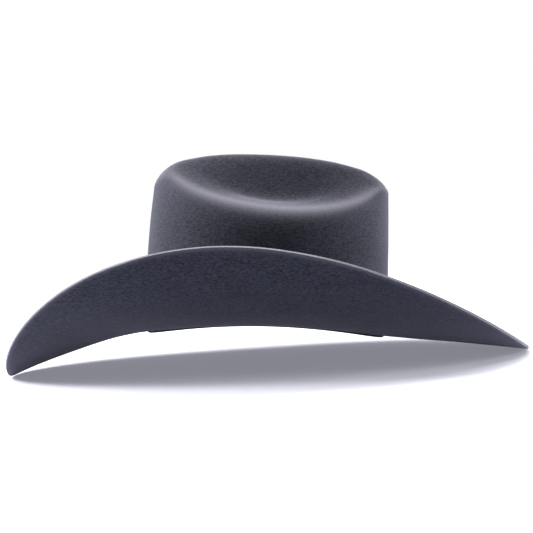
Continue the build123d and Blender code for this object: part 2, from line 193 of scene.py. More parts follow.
studio = {
    "floorSize": 12.0, "floorGap": 0.2,     # metres across, and mm below the hat
    "floorColour": "#e5e6ee",
    "floorBounce": "#bfc1d0",               # what the floor sends back up to the hat
    "shadowTint": "#eff0ff",
    "floorLift": (0.26, 1.3),               # glow for the camera only, near the hat and far off
    "shadowReach": (0.30, 0.62),            # metres from the hat between which that glow grows
    "ambient": 0.06,
    # each lamp's place in metres and its watts
    "lamps": {
        "backBox": ((0.12, 0.59, 1.23), 15.0),
        "backRightBox": ((0.86, 0.50, 0.92), 7.3),
        "rightBox": ((1.30, 0.0, 0.19), 12.9),
        "leftBox": ((-1.06, 0.04, 0.83), 23.3),
        "frontBox": ((0.0, -0.84, 1.08), 2.0),
    },
    "lampSize": 0.6, "lampTarget": (0.0, 0.0, 0.08),
}


def makeFloorPaint():
    # matt white board: keeps the shadow under the hat, is plain white further off, and is open from below
    material, tree = newMaterial("mattWhiteBoard")
    rays = addNode(tree, "ShaderNodeLightPath")
    seen = addNode(tree, "ShaderNodeMath", {"operation": "MAXIMUM"},
                   links={0: rays.outputs["Is Camera Ray"], 1: rays.outputs["Is Glossy Ray"]})
    through = addNode(tree, "ShaderNodeMath", {"operation": "MAXIMUM"},
                      links={0: seen.outputs[0], 1: rays.outputs["Is Transmission Ray"]})
    paint = addNode(tree, "ShaderNodeMix", {"data_type": "RGBA"},
                    values={"A": toLinear(studio["floorBounce"]), "B": toLinear(studio["floorColour"])},
                    links={"Factor": through.outputs[0]})
    board = addNode(tree, "ShaderNodeBsdfDiffuse", links={"Color": paint.outputs["Result"]})
    place = addNode(tree, "ShaderNodeTexCoord")
    away = addNode(tree, "ShaderNodeVectorMath", {"operation": "LENGTH"},
                   links={0: place.outputs["Object"]})
    near, far = studio["shadowReach"]
    lift = addNode(tree, "ShaderNodeMapRange", {"interpolation_type": "SMOOTHSTEP"},
                   values={"From Min": near, "From Max": far,
                           "To Min": studio["floorLift"][0], "To Max": studio["floorLift"][1]},
                   links={"Value": away.outputs["Value"]})
    level = addNode(tree, "ShaderNodeMath", {"operation": "MULTIPLY"},
                    links={0: through.outputs[0], 1: lift.outputs[0]})
    glow = addNode(tree, "ShaderNodeEmission", values={"Color": toLinear(studio["shadowTint"])},
                   links={"Strength": level.outputs[0]})
    both = addNode(tree, "ShaderNodeAddShader", links={0: board.outputs[0], 1: glow.outputs[0]})
    clear = addNode(tree, "ShaderNodeBsdfTransparent")
    side = addNode(tree, "ShaderNodeNewGeometry")
    mix = addNode(tree, "ShaderNodeMixShader",
                  links={0: side.outputs["Backfacing"], 1: both.outputs[0], 2: clear.outputs[0]})
    addNode(tree, "ShaderNodeOutputMaterial", links={"Surface": mix.outputs[0]})
    return material


floorHeight = cadLow.z - studio["floorGap"] * mm
bpy.ops.mesh.primitive_plane_add(size=studio["floorSize"], location=(0, 0, floorHeight))
floor = bpy.context.object
floor.name = "floor"
floor.data.materials.append(makeFloorPaint())

for name, (place, watts) in studio["lamps"].items():
    bpy.ops.object.light_add(type="AREA", location=place)
    lamp = bpy.context.object
    lamp.name = name
    lamp.data.size = studio["lampSize"]
    lamp.data.energy = watts
    lamp.rotation_euler = (Vector(studio["lampTarget"]) - Vector(place)).to_track_quat("-Z", "Y").to_euler()
    lamp.visible_camera = False

world = bpy.data.worlds.new("studio")
bpy.context.scene.world = world
world.use_nodes = True
sky = world.node_tree
sky.nodes.clear()
rays = addNode(sky, "ShaderNodeLightPath")
seen = addNode(sky, "ShaderNodeMath", {"operation": "MAXIMUM"},
               links={0: rays.outputs["Is Camera Ray"], 1: rays.outputs["Is Transmission Ray"]})
level = addNode(sky, "ShaderNodeMapRange", values={"To Min": studio["ambient"], "To Max": 1.0},
                links={"Value": seen.outputs[0]})
backdrop = addNode(sky, "ShaderNodeBackground", values={"Color": (1, 1, 1, 1)},
                   links={"Strength": level.outputs[0]})
addNode(sky, "ShaderNodeOutputWorld", links={"Surface": backdrop.outputs[0]})
bpy.context.scene.view_settings.view_transform = "Standard"
print("studio set up")


# the crown's wall, against which the band and everything inside it stand
crown = {
    "halfLength": 100.0, "halfWidth": 81.5, "setBack": 0.5,
    "taperHeight": 100.0, "lengthTaper": 2.9, "widthTaper": 6.0, "lean": 2.0,    # mm over that height
    "saddle": 6.0,                           # dip at front and back of every edge that follows the brim
}


def wallAt(angle, height, inset, follow=True):
    # a place on the wall in hat mm, from its angle in radians round from the front and its inset inwards;
    # follow gives it the brim's dip
    level = height - crown["saddle"] * math.cos(2 * angle) if follow else height
    growth = (level / crown["taperHeight"]) ** 2
    along = crown["halfLength"] - crown["lengthTaper"] * growth - inset
    across = crown["halfWidth"] - crown["widthTaper"] * growth - inset
    middle = crown["lean"] * growth - crown["setBack"]
    return middle + along * math.cos(angle), across * math.sin(angle), level


bodyFelt = {
    "dark": "#14161f", "light": "#50525e", "contrast": 0.12,      # the nap's hollows and tips
    "grain": 0.75, "streak": (2.8, 2.8, 1.0), "patch": 16.0,      # mm
    "streakShare": 0.4, "patchShare": 0.05,
    "paintedSheen": "#a5a5b6", "paintedSheenShare": 0.15, "paintedSheenPower": 3.0,    # painted sheen: a paler colour where the felt is seen edge on
    "highlightAndWear": "#797883", "highlightAndWearShare": 0.68,                           # painted highlight along each dent's lip; at the brim's edge, paler nap, partly wear and partly painted highlight
    "sheen": 0.5, "sheenRoughness": 0.5, "sheenTint": "#c9c5d4",
    "roughness": 0.95, "specular": 0.2, "bump": 0.9, "napDepth": 0.3,
}
# the brim's cut edge: a paler felt, partly the raw edge's own colour and partly a painted highlight where
# the edge catches the light
cutFeltWithHighlight = dict(bodyFelt, dark="#605d66", light="#a39ea8", grain=0.9, contrast=0.25,
               paintedSheenShare=0.2, highlightAndWearShare=0.0, bump=1.0)
bandFelt = dict(bodyFelt, dark="#23252e", light="#3a3c47", grain=1.0, paintedSheenShare=0.1)


def makeFurFelt(name, fur):
    # fur felt, pounced and brushed: matt, with a fine grain, fibres laid round the crown
    # and a painted sheen of loose fibres, a paler colour where it is seen edge on
    material, tree = newMaterial(name)
    place = addNode(tree, "ShaderNodeTexCoord")
    grain = addNode(tree, "ShaderNodeTexNoise",
                    values={"Scale": 1 / (fur["grain"] * mm), "Detail": 3.0, "Roughness": 0.7},
                    links={"Vector": place.outputs["Object"]})
    along = addNode(tree, "ShaderNodeMapping",
                    values={"Scale": [1 / (size * mm) for size in fur["streak"]]},
                    links={"Vector": place.outputs["Object"]})
    streak = addNode(tree, "ShaderNodeTexNoise", values={"Scale": 1.0, "Detail": 2.0},
                     links={"Vector": along.outputs[0]})
    patch = addNode(tree, "ShaderNodeTexNoise", values={"Scale": 1 / (fur["patch"] * mm), "Detail": 2.0},
                    links={"Vector": place.outputs["Object"]})
    nap = addNode(tree, "ShaderNodeMix", {"data_type": "FLOAT"}, values={"Factor": fur["streakShare"]},
                  links={"A": grain.outputs["Fac"], "B": streak.outputs["Fac"]})
    shade = addNode(tree, "ShaderNodeMix", {"data_type": "FLOAT"}, values={"Factor": fur["patchShare"]},
                    links={"A": nap.outputs[0], "B": patch.outputs["Fac"]})
    colour = addNode(tree, "ShaderNodeValToRGB", links={"Fac": shade.outputs[0]})
    darkEnd, lightEnd = colour.color_ramp.elements
    darkEnd.position, darkEnd.color = 0.5 - fur["contrast"], toLinear(fur["dark"])
    lightEnd.position, lightEnd.color = 0.5 + fur["contrast"], toLinear(fur["light"])
    # the mesh's marks pale the colour: a painted highlight along each dent's lip, and at the brim's edge
    # partly wear and partly painted highlight
    highlightAndWear = addNode(tree, "ShaderNodeAttribute", {"attribute_name": "highlightAndWear"})
    highlightAndWearAmount = addNode(tree, "ShaderNodeMath", {"operation": "MULTIPLY"}, values={1: fur["highlightAndWearShare"]},
                     links={0: highlightAndWear.outputs["Fac"]})
    worn = addNode(tree, "ShaderNodeMix", {"data_type": "RGBA"}, values={"B": toLinear(fur["highlightAndWear"])},
                   links={"Factor": highlightAndWearAmount.outputs[0], "A": colour.outputs["Color"]})
    # painted sheen: the colour turns paler where the felt is seen edge on
    edgeOn = addNode(tree, "ShaderNodeLayerWeight", values={"Blend": 0.5})
    paintedSheen = addNode(tree, "ShaderNodeMath", {"operation": "POWER"}, values={1: fur["paintedSheenPower"]},
                    links={0: edgeOn.outputs["Facing"]})
    share = addNode(tree, "ShaderNodeMath", {"operation": "MULTIPLY"}, values={1: fur["paintedSheenShare"]},
                    links={0: paintedSheen.outputs[0]})
    withPaintedSheen = addNode(tree, "ShaderNodeMix", {"data_type": "RGBA"}, values={"B": toLinear(fur["paintedSheen"])},
                   links={"Factor": share.outputs[0], "A": worn.outputs["Result"]})
    bump = addNode(tree, "ShaderNodeBump",
                   values={"Strength": fur["bump"], "Distance": fur["napDepth"] * mm},
                   links={"Height": nap.outputs[0]})
    felt = addNode(tree, "ShaderNodeBsdfPrincipled",
                   values={"Roughness": fur["roughness"], "Specular IOR Level": fur["specular"],
                           "Sheen Weight": fur["sheen"], "Sheen Roughness": fur["sheenRoughness"],
                           "Sheen Tint": toLinear(fur["sheenTint"])},
                   links={"Base Color": withPaintedSheen.outputs["Result"], "Normal": bump.outputs["Normal"]})
    addNode(tree, "ShaderNodeOutputMaterial", links={"Surface": felt.outputs[0]})
    return material


# lengths in mm, angles in degrees; along and across the top are shares of the crown's half sizes
body = {
    "thickness": 2.3, "edgeBevel": 0.55, "columns": 300,
    "rows": (38, 26, 24, 14, 32),            # over the top, its edge, the wall, the turn and the brim
    "breakLength": 105.0, "breakWidth": 86.0, "foot": 6.0, "brimWidth": 108.0,
    "tail": 4.0, "tailPower": 12,            # what the brim is longer by at its rear tip
    "sideLift": 68.0, "liftPower": 2.8, "liftForward": -0.35,
    "frontDip": 5.0, "backDip": 25.6, "dipPower": 5.0, "dipAtBreak": 0.6,
    "crest": 137.0, "crestSlope": 3.0, "crestArch": 8.4, "crestEndDrop": 8.5,
    "lip": 96.0, "lipRise": 26.7, "lipLowPoint": 0.16, "lipEnd": 13.0, "lipBlend": 3.0,
    "ridgePlace": 0.34, "lipPlace": 0.73, "dentPower": 0.89,
    "creaseDepth": 27.0, "creaseReach": 0.95, "creaseMiddle": -0.05, "endBlend": 0.02,
    "dropBack": 14.0, "dropFront": 9.0, "dropSide": 22.0, "flatEnd": 0.78, "flatSide": 0.725,
    # how far hand-shaped felt leaves a true curve, over what length, and which of its chance shapes is used
    "wobble": 0.35, "wobbleLength": 38.0, "wobbleSeed": 7,
    # the lip of each side dent is softened by hand; a pair is where that starts or stops, and how slowly
    "softness": 0.27, "softSide": (0.25, 0.3), "softStart": (0.75, 0.4), "softStop": (2.7, 0.6),
    "softWeights": ((-1.0, 0.12), (-0.5, 0.22), (0.0, 0.32), (0.5, 0.22), (1.0, 0.12)),
    # a painted highlight pales the nap along that lip; at the brim's edge the nap is paler, partly from
    # wear and partly as painted highlight; all in steps over the felt
    "lipHighlightMiddle": 1.24, "lipHighlightDrift": 0.36, "lipHighlightInner": 0.19, "lipHighlightOuter": 0.36, "lipHighlightSide": (0.24, 0.36),
    "edgeWearAndHighlight": 0.012,
}


def ease(part):
    return 0.5 - 0.5 * math.cos(math.pi * min(max(part, 0.0), 1.0))


def topHeight(forward, across):
    # the creased top: two ridges, a crease between them and a dent outside each, which ends at the lip
    out = abs(across) / math.sqrt(max(1 - forward * forward, 0.0) + body["endBlend"])
    crest = (body["crest"] - body["crestSlope"] * forward - body["crestArch"] * forward ** 2
             - body["crestEndDrop"] * forward ** 4)
    lip = (body["lip"] + body["lipRise"] * (forward - body["lipLowPoint"]) ** 2
           + body["lipEnd"] * forward ** 6)
    dent = (crest - lip + math.hypot(crest - lip, body["lipBlend"])) / 2
    outer = min(max((out - body["ridgePlace"]) / (body["lipPlace"] - body["ridgePlace"]), 0.0), 1.0)
    fade = max(1 - ((forward - body["creaseMiddle"]) / body["creaseReach"]) ** 4, 0.0)
    crease = body["creaseDepth"] * fade * ease(1 - out / body["ridgePlace"])
    return crest - dent * ease(outer ** body["dentPower"]) - crease


def feltSkin(step, angle):
    # the outer face: step runs 0-1 over the top, 1-2 its edge, 2-3 the wall, 3-4 the turn, 4-5 the brim
    front, side = math.cos(angle), math.sin(angle)
    end = front ** 4
    endDrop = body["dropBack"] if front < 0 else body["dropFront"]
    drop = body["dropSide"] + (endDrop - body["dropSide"]) * end
    flat = body["flatSide"] + (body["flatEnd"] - body["flatSide"]) * end
    wallTop = topHeight(front, side) - drop
    foot = body["foot"] - crown["saddle"] * math.cos(2 * angle)
    if step <= 2:
        turn = math.pi / 2 * max(step - 1, 0.0)
        share = step * flat if step < 1 else flat + (1 - flat) * math.sin(turn)
        x, y, _ = wallAt(angle, wallTop, 0.0, follow=False)
        height = topHeight(share * front, share * side) - drop * (1 - math.cos(turn))
        return Vector((x * share, y * share, height))
    if step <= 3:
        return Vector(wallAt(angle, wallTop + (foot - wallTop) * (step - 2), 0.0, follow=False))
    across, along = front / body["breakLength"], side / body["breakWidth"]
    size = math.hypot(across, along)
    breakX, breakY = body["breakLength"] * front, body["breakWidth"] * side
    outX, outY = across / size, along / size
    if outX > 0:
        dip = body["frontDip"] * outX ** body["dipPower"]
    else:
        dip = body["backDip"] * (-outX) ** body["dipPower"]
    lift = body["sideLift"] * abs(outY) ** body["liftPower"] * (1 + body["liftForward"] * outX)
    start, last = math.radians(-body["dipAtBreak"] * dip), math.radians(lift - dip)
    footX, footY, _ = wallAt(angle, foot, 0.0, follow=False)
    slope = start if step > 4 else (start + math.pi / 2) * (step - 3) - math.pi / 2
    x = footX + (breakX - footX) * (1 + math.sin(slope))
    y = footY + (breakY - footY) * (1 + math.sin(slope))
    height = foot - body["foot"] * math.cos(slope)
    if step > 4:
        # the brim's section is an arc that leaves the break at the start angle and ends at the last
        width = body["brimWidth"] + body["tail"] * max(-outX, 0.0) ** body["tailPower"]
        run = (width - math.sin(start) * math.hypot(breakX - footX, breakY - footY)) * (step - 4)
        half = (last - start) * (step - 4) / 2
        chord = run * math.sin(half) / half if abs(half) > 1e-9 else run
        x += outX * chord * math.cos(start + half)
        y += outY * chord * math.cos(start + half)
        height += chord * math.sin(start + half)
    return Vector((x, y, height))


feltSteps = [0.0]
for part, rows in enumerate(body["rows"]):
    feltSteps += [part + (row + 1) / rows for row in range(rows)]


def stepAt(up):
    # the step that a row of the grid stands for
    last = len(feltSteps) - 1
    return feltSteps[min(int(round(up * last)), last)]


def placeFelt(around, up):
    # the outer face with its lip softened and the small unevenness of hand-shaped felt
    angle, step = 2 * math.pi * around, stepAt(up)
    side, sideWay = body["softSide"]
    start, startWay = body["softStart"]
    stop, stopWay = body["softStop"]
    reach = body["softness"] * ease((abs(math.sin(angle)) - side) / sideWay)
    reach *= ease((step - start) / startWay) * ease((stop - step) / stopWay)
    place = Vector((0.0, 0.0, 0.0))
    for shift, weight in body["softWeights"]:
        place += weight * feltSkin(step + shift * reach, angle)
    return place + body["wobble"] * noise.noise_vector(place / body["wobbleLength"]) * min(step, 1.0)


def highlightAndWearAt(around, up):
    # how much the nap is paled, from 0 to 1: a painted highlight along each dent's lip, and at the brim's
    # edge partly wear and partly painted highlight
    angle, step = 2 * math.pi * around, stepAt(up)
    side, sideWay = body["lipHighlightSide"]
    middle = body["lipHighlightMiddle"] + body["lipHighlightDrift"] * math.cos(angle) ** 2
    spread = body["lipHighlightInner"] if step < middle else body["lipHighlightOuter"]
    lip = ease((abs(math.sin(angle)) - side) / sideWay) * math.exp(-((step - middle) / spread) ** 2)
    return max(lip, math.exp(-(5 - step) / body["edgeWearAndHighlight"]))


noise.seed_set(body["wobbleSeed"])      # without it, the felt would differ a little from run to run
hatFelt = makeCloth("hatFelt", body["columns"], len(feltSteps) - 1, placeFelt, weld=True)
# the painted lip highlight and the paler brim edge, partly wear and partly painted highlight, marked on
# each corner of the felt
highlightAndWear = [0.0] * len(hatFelt.data.vertices)
for loop, spot in zip(hatFelt.data.loops, hatFelt.data.uv_layers[0].data):
    highlightAndWear[loop.vertex_index] = highlightAndWearAt(*spot.uv)
hatFelt.data.attributes.new("highlightAndWear", "FLOAT", "POINT").data.foreach_set("value", highlightAndWear)
hatFelt.data.materials.append(makeFurFelt("brushedFurFelt", bodyFelt))
hatFelt.data.materials.append(makeFurFelt("cutFurFeltWithHighlight", cutFeltWithHighlight))
addModifier(hatFelt, "SOLIDIFY", thickness=body["thickness"] * mm, offset=-1.0, material_offset_rim=1)
roundEdges(hatFelt, body["edgeBevel"], segments=3, sharperThan=60, material=1)
finishPiece(hatFelt, None, "felt", "felt_body")
print("felt body made")


strap = {"edgeBevel": 0.4}    # mm
hatStrap = copyOf("hatband", "hatStrap")
roundEdges(hatStrap, strap["edgeBevel"], segments=2, sharperThan=50)
finishPiece(hatStrap, makeFurFelt("bandFelt", bandFelt), "band_felt", "hatband")

plate = {
    "colour": "#cfcac0", "tarnish": "#7d766c", "roughness": (0.16, 0.38), "edgeBevel": 0.42,
    "cloud": 4.0, "scratch": (0.4, 0.4, 6.0), "scratchDepth": 0.05,          # mm
}


def makeNickelPlate():
    # nickel silver plate, polished and worn: a warm white metal with fine scratches and darker hollows
    material, tree = newMaterial("polishedNickelPlate")
    place = addNode(tree, "ShaderNodeTexCoord")
    along = addNode(tree, "ShaderNodeMapping",
                    values={"Scale": [1 / (size * mm) for size in plate["scratch"]]},
                    links={"Vector": place.outputs["Object"]})
    scratch = addNode(tree, "ShaderNodeTexNoise", values={"Scale": 1.0, "Detail": 3.0},
                      links={"Vector": along.outputs[0]})
    cloud = addNode(tree, "ShaderNodeTexNoise", values={"Scale": 1 / (plate["cloud"] * mm), "Detail": 3.0},
                    links={"Vector": place.outputs["Object"]})
    dull = addNode(tree, "ShaderNodeMapRange", values={"From Min": 0.5, "From Max": 0.8, "To Max": 0.5},
                   links={"Value": cloud.outputs["Fac"]})
    colour = addNode(tree, "ShaderNodeMix", {"data_type": "RGBA"},
                     values={"A": toLinear(plate["colour"]), "B": toLinear(plate["tarnish"])},
                     links={"Factor": dull.outputs[0]})
    rough = addNode(tree, "ShaderNodeMapRange",
                    values={"To Min": plate["roughness"][0], "To Max": plate["roughness"][1]},
                    links={"Value": scratch.outputs["Fac"]})
    bump = addNode(tree, "ShaderNodeBump",
                   values={"Strength": 0.15, "Distance": plate["scratchDepth"] * mm},
                   links={"Height": scratch.outputs["Fac"]})
    metal = addNode(tree, "ShaderNodeBsdfPrincipled", values={"Metallic": 1.0},
                    links={"Base Color": colour.outputs["Result"], "Roughness": rough.outputs[0],
                           "Normal": bump.outputs[0]})
    addNode(tree, "ShaderNodeOutputMaterial", links={"Surface": metal.outputs[0]})
    return material


nickel = makeNickelPlate()
for node, name in (("band_buckle", "buckleFrame"), ("band_keeper", "keeperLoop"), ("band_tip", "strapTip")):
    metalPiece = copyOf(node, name)
    roundEdges(metalPiece, plate["edgeBevel"], segments=3, sharperThan=50)
    finishPiece(metalPiece, nickel, "buckle_metal", node)
dress("buckle_prong", nickel)
print("band and buckle made")


sweat = {
    "inset": 3.8, "low": -0.5, "high": 46.0, "thickness": 1.2, "edgeBevel": 0.35,
    "columns": 240, "rows": 48, "seamGap": 0.16,                 # degrees each side of the back
    "lineBelowTop": 4.5, "lineWidth": 1.1, "lineDepth": 0.28,    # the line pressed in below its top edge
    "ripple": 0.35, "ripples": ((7, 0.6, 1.0), (13, 2.0, 0.6)),  # waves: how many, their start and share
    "rippleLift": 0.6, "rippleLean": 0.3,
    "colour": "#5e4434", "worn": "#7d5e46", "dark": "#36251b",
    "pebble": 0.9, "crease": 3.0, "blotch": 22.0, "grainDepth": 0.15, "roughness": (0.42, 0.62),
}


def placeSweatband(around, up):
    angle = math.radians(180 + sweat["seamGap"] + (360 - 2 * sweat["seamGap"]) * around)
    height = sweat["low"] + (sweat["high"] - sweat["low"]) * up
    groove = math.exp(-((sweat["high"] - sweat["lineBelowTop"] - height) / sweat["lineWidth"]) ** 2)
    wave = sum(share * math.sin(count * angle + start) for count, start, share in sweat["ripples"])
    soft = sweat["ripple"] * up ** 6 * wave
    inset = sweat["inset"] - sweat["lineDepth"] * groove + sweat["rippleLean"] * abs(soft)
    return wallAt(angle, height + sweat["rippleLift"] * soft, inset)


def makeSweatLeather():
    # roan sheepskin, vegetable tanned and dyed: a soft pebbled grain, dark in its hollows and rubbed
    # lighter on top
    material, tree = newMaterial("dyedRoanLeather")
    place = addNode(tree, "ShaderNodeTexCoord")
    pebble = addNode(tree, "ShaderNodeTexVoronoi", {"feature": "SMOOTH_F1"},
                     values={"Scale": 1 / (sweat["pebble"] * mm)},
                     links={"Vector": place.outputs["Object"]})
    crease = addNode(tree, "ShaderNodeTexNoise",
                     values={"Scale": 1 / (sweat["crease"] * mm), "Detail": 5.0, "Roughness": 0.65},
                     links={"Vector": place.outputs["Object"]})
    blotch = addNode(tree, "ShaderNodeTexNoise",
                     values={"Scale": 1 / (sweat["blotch"] * mm), "Detail": 3.0},
                     links={"Vector": place.outputs["Object"]})
    dye = addNode(tree, "ShaderNodeMix", {"data_type": "RGBA"},
                  values={"A": toLinear(sweat["colour"]), "B": toLinear(sweat["worn"])},
                  links={"Factor": blotch.outputs["Fac"]})
    hollow = addNode(tree, "ShaderNodeMapRange",
                     values={"From Min": 0.25, "From Max": 0.75, "To Max": 0.55},
                     links={"Value": pebble.outputs["Distance"]})
    colour = addNode(tree, "ShaderNodeMix", {"data_type": "RGBA"}, values={"B": toLinear(sweat["dark"])},
                     links={"Factor": hollow.outputs[0], "A": dye.outputs["Result"]})
    height = addNode(tree, "ShaderNodeMath", {"operation": "SUBTRACT"},
                     links={0: crease.outputs["Fac"], 1: pebble.outputs["Distance"]})
    bump = addNode(tree, "ShaderNodeBump", values={"Strength": 0.5, "Distance": sweat["grainDepth"] * mm},
                   links={"Height": height.outputs[0]})
    rough = addNode(tree, "ShaderNodeMapRange",
                    values={"To Min": sweat["roughness"][0], "To Max": sweat["roughness"][1]},
                    links={"Value": crease.outputs["Fac"]})
    leather = addNode(tree, "ShaderNodeBsdfPrincipled", values={"Specular IOR Level": 0.45},
                      links={"Base Color": colour.outputs["Result"], "Roughness": rough.outputs[0],
                             "Normal": bump.outputs[0]})
    addNode(tree, "ShaderNodeOutputMaterial", links={"Surface": leather.outputs[0]})
    return material


sweatLeather = makeCloth("sweatLeather", sweat["columns"], sweat["rows"], placeSweatband)
addModifier(sweatLeather, "SOLIDIFY", thickness=sweat["thickness"] * mm, offset=0.0)
roundEdges(sweatLeather, sweat["edgeBevel"], segments=2, sharperThan=60)
finishPiece(sweatLeather, makeSweatLeather(), "leather", "sweatband")

waveUnit = 0.31    # the Wave texture's scale at which one unit holds one wave

tape = {
    "start": 189.0, "end": 531.0,            # degrees from the front
    "columns": 240, "thickness": 0.4,
    # the fold's insets and heights, from behind the leather round to its inner face
    "section": ((2.7, 8.0), (2.7, 5.0), (2.7, 2.0), (2.7, -0.5), (2.72, -1.8), (2.85, -2.6), (3.25, -3.1),
                (3.8, -3.22), (4.4, -3.1), (4.8, -2.6), (4.94, -1.8), (4.95, -0.72)),
    "colour": "#1f1e20", "light": "#3b393c", "roughness": 0.85,
    "length": 530.0, "width": 14.0, "rib": 0.8, "ribSlant": 35.0, "ribDepth": 0.12,
}


def placeTape(around, up):
    angle = math.radians(tape["start"] + (tape["end"] - tape["start"]) * around)
    last = len(tape["section"]) - 1
    inset, height = tape["section"][min(int(round(up * last)), last)]
    return wallAt(angle, height, inset)


def makeWovenTape():
    # cotton twill tape, dyed black: slanting ribs of thread and a soft matt face
    material, tree = newMaterial("cottonTwillTape")
    place = addNode(tree, "ShaderNodeTexCoord")
    ribs = addNode(tree, "ShaderNodeMapping",
                   values={"Scale": (tape["length"] / tape["rib"], tape["width"] / tape["rib"], 1.0),
                           "Rotation": (0, 0, math.radians(tape["ribSlant"]))},
                   links={"Vector": place.outputs["UV"]})
    twill = addNode(tree, "ShaderNodeTexWave", values={"Scale": waveUnit, "Distortion": 0.6, "Detail": 1.0},
                    links={"Vector": ribs.outputs[0]})
    colour = addNode(tree, "ShaderNodeMix", {"data_type": "RGBA"},
                     values={"A": toLinear(tape["colour"]), "B": toLinear(tape["light"])},
                     links={"Factor": twill.outputs["Fac"]})
    bump = addNode(tree, "ShaderNodeBump", values={"Strength": 0.6, "Distance": tape["ribDepth"] * mm},
                   links={"Height": twill.outputs["Fac"]})
    cotton = addNode(tree, "ShaderNodeBsdfPrincipled",
                     values={"Roughness": tape["roughness"], "Specular IOR Level": 0.25,
                             "Sheen Weight": 0.3},
                     links={"Base Color": colour.outputs["Result"], "Normal": bump.outputs[0]})
    addNode(tree, "ShaderNodeOutputMaterial", links={"Surface": cotton.outputs[0]})
    return material


foldedTape = makeCloth("foldedTape", tape["columns"], len(tape["section"]) - 1, placeTape)
addModifier(foldedTape, "SOLIDIFY", thickness=tape["thickness"] * mm, offset=0.0)
finishPiece(foldedTape, makeWovenTape(), "tape", "reed_tape")

# the size of each pattern is in mm, and so is the depth that light reaches in the nylon
reed = {"colour": "#cfc8b8", "light": "#e6e0d2", "cloud": 1.5, "roughness": (0.3, 0.5),
        "ior": 1.53, "milk": 0.2, "milkDepth": 0.5}
sleeve = {"colour": "#b8934a", "light": "#d8b56a", "line": (0.3, 5.0, 0.3), "roughness": (0.22, 0.42)}
threads = {"tan": ("#8a6a4c", "#c39c74"), "grey": ("#2c2e37", "#555862"), "cream": ("#a39a88", "#d6cdbb"),
           "ply": 0.5, "plyDepth": 0.08, "roughness": 0.5}


def makeReedNylon():
    # extruded nylon, natural: milky, half clear and slightly waxy
    material, tree = newMaterial("naturalNylon")
    place = addNode(tree, "ShaderNodeTexCoord")
    cloud = addNode(tree, "ShaderNodeTexNoise", values={"Scale": 1 / (reed["cloud"] * mm), "Detail": 2.0},
                    links={"Vector": place.outputs["Object"]})
    colour = addNode(tree, "ShaderNodeMix", {"data_type": "RGBA"},
                     values={"A": toLinear(reed["colour"]), "B": toLinear(reed["light"])},
                     links={"Factor": cloud.outputs["Fac"]})
    rough = addNode(tree, "ShaderNodeMapRange",
                    values={"To Min": reed["roughness"][0], "To Max": reed["roughness"][1]},
                    links={"Value": cloud.outputs["Fac"]})
    nylon = addNode(tree, "ShaderNodeBsdfPrincipled",
                    values={"IOR": reed["ior"], "Subsurface Weight": reed["milk"],
                            "Subsurface Scale": reed["milkDepth"] * mm},
                    links={"Base Color": colour.outputs["Result"], "Roughness": rough.outputs[0]})
    addNode(tree, "ShaderNodeOutputMaterial", links={"Surface": nylon.outputs[0]})
    return material


def makeSleeveBrass():
    # drawn brass tube: yellow metal with lengthwise drawing lines and a few dull spots
    material, tree = newMaterial("drawnBrass")
    place = addNode(tree, "ShaderNodeTexCoord")
    lines = addNode(tree, "ShaderNodeMapping",
                    values={"Scale": [1 / (size * mm) for size in sleeve["line"]]},
                    links={"Vector": place.outputs["Object"]})
    draw = addNode(tree, "ShaderNodeTexNoise", values={"Scale": 1.0, "Detail": 2.0},
                   links={"Vector": lines.outputs[0]})
    colour = addNode(tree, "ShaderNodeMix", {"data_type": "RGBA"},
                     values={"A": toLinear(sleeve["colour"]), "B": toLinear(sleeve["light"])},
                     links={"Factor": draw.outputs["Fac"]})
    rough = addNode(tree, "ShaderNodeMapRange",
                    values={"To Min": sleeve["roughness"][0], "To Max": sleeve["roughness"][1]},
                    links={"Value": draw.outputs["Fac"]})
    brass = addNode(tree, "ShaderNodeBsdfPrincipled", values={"Metallic": 1.0},
                    links={"Base Color": colour.outputs["Result"], "Roughness": rough.outputs[0]})
    addNode(tree, "ShaderNodeOutputMaterial", links={"Surface": brass.outputs[0]})
    return material


def makeThread(shade):
    # polyester sewing thread: tight plies that catch a soft light
    material, tree = newMaterial(shade + "PolyesterThread")
    dark, light = threads[shade]
    place = addNode(tree, "ShaderNodeTexCoord")
    turned = addNode(tree, "ShaderNodeMapping", values={"Rotation": (0.6, 0.5, 0.7)},
                     links={"Vector": place.outputs["Object"]})
    twist = addNode(tree, "ShaderNodeTexWave",
                    values={"Scale": waveUnit / (threads["ply"] * mm), "Distortion": 1.5, "Detail": 1.0},
                    links={"Vector": turned.outputs[0]})
    colour = addNode(tree, "ShaderNodeMix", {"data_type": "RGBA"},
                     values={"A": toLinear(dark), "B": toLinear(light)},
                     links={"Factor": twist.outputs["Fac"]})
    bump = addNode(tree, "ShaderNodeBump", values={"Strength": 0.6, "Distance": threads["plyDepth"] * mm},
                   links={"Height": twist.outputs["Fac"]})
    thread = addNode(tree, "ShaderNodeBsdfPrincipled",
                     values={"Roughness": threads["roughness"], "Sheen Weight": 0.2},
                     links={"Base Color": colour.outputs["Result"], "Normal": bump.outputs[0]})
    addNode(tree, "ShaderNodeOutputMaterial", links={"Surface": thread.outputs[0]})
    return material


dress("sweatband_reed", makeReedNylon())
dress("reed_sleeve", makeSleeveBrass())
tanThread = makeThread("tan")
dress("sweatband_stitches", tanThread)
dress("seam_stitches", tanThread)
dress("band_tacks", makeThread("grey"))
print("sweatband, reed and tape made")


